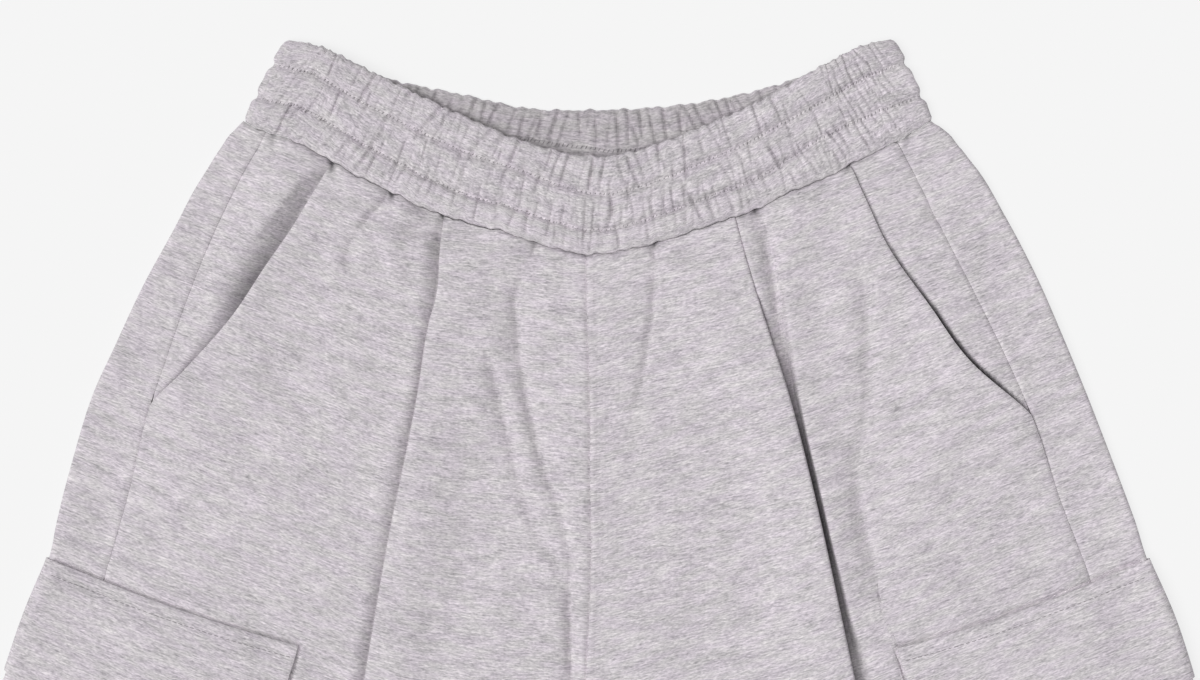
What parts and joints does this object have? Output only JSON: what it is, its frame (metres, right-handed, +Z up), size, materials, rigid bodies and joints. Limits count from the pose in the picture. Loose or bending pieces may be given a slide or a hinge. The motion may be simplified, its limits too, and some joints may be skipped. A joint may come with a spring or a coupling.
{
  "type": "cargo shorts",
  "caption": "Baggy sweat-fabric shorts laid flat: gathered elastic waistband, pleated fronts, slanted side pockets and flapped cargo pockets.",
  "frame": {"origin": "middle of the shorts' outline, on the surface that they lie on", "axes": "+Y towards the waist, +X towards the wearer's left leg, +Z up, out of the front"},
  "size_m": [0.7836, 0.6324, 0.012],
  "materials": {
    "heather_jersey": "matte pale grey heather sweat fabric",
    "waistband_jersey": "matte grey heather sweat fabric, gathered on elastic"
  },
  "bodies": {
    "root": {"waistband": "waistband_jersey", "front_right": "heather_jersey", "front_left": "heather_jersey", "back_right": "heather_jersey", "back_left": "heather_jersey", "pocket_facing_right": "heather_jersey", "pocket_facing_left": "heather_jersey", "cargo_pocket_right": "heather_jersey", "cargo_pocket_left": "heather_jersey", "cargo_flap_right": "heather_jersey", "cargo_flap_left": "heather_jersey"}
  },
  "joints": []
}
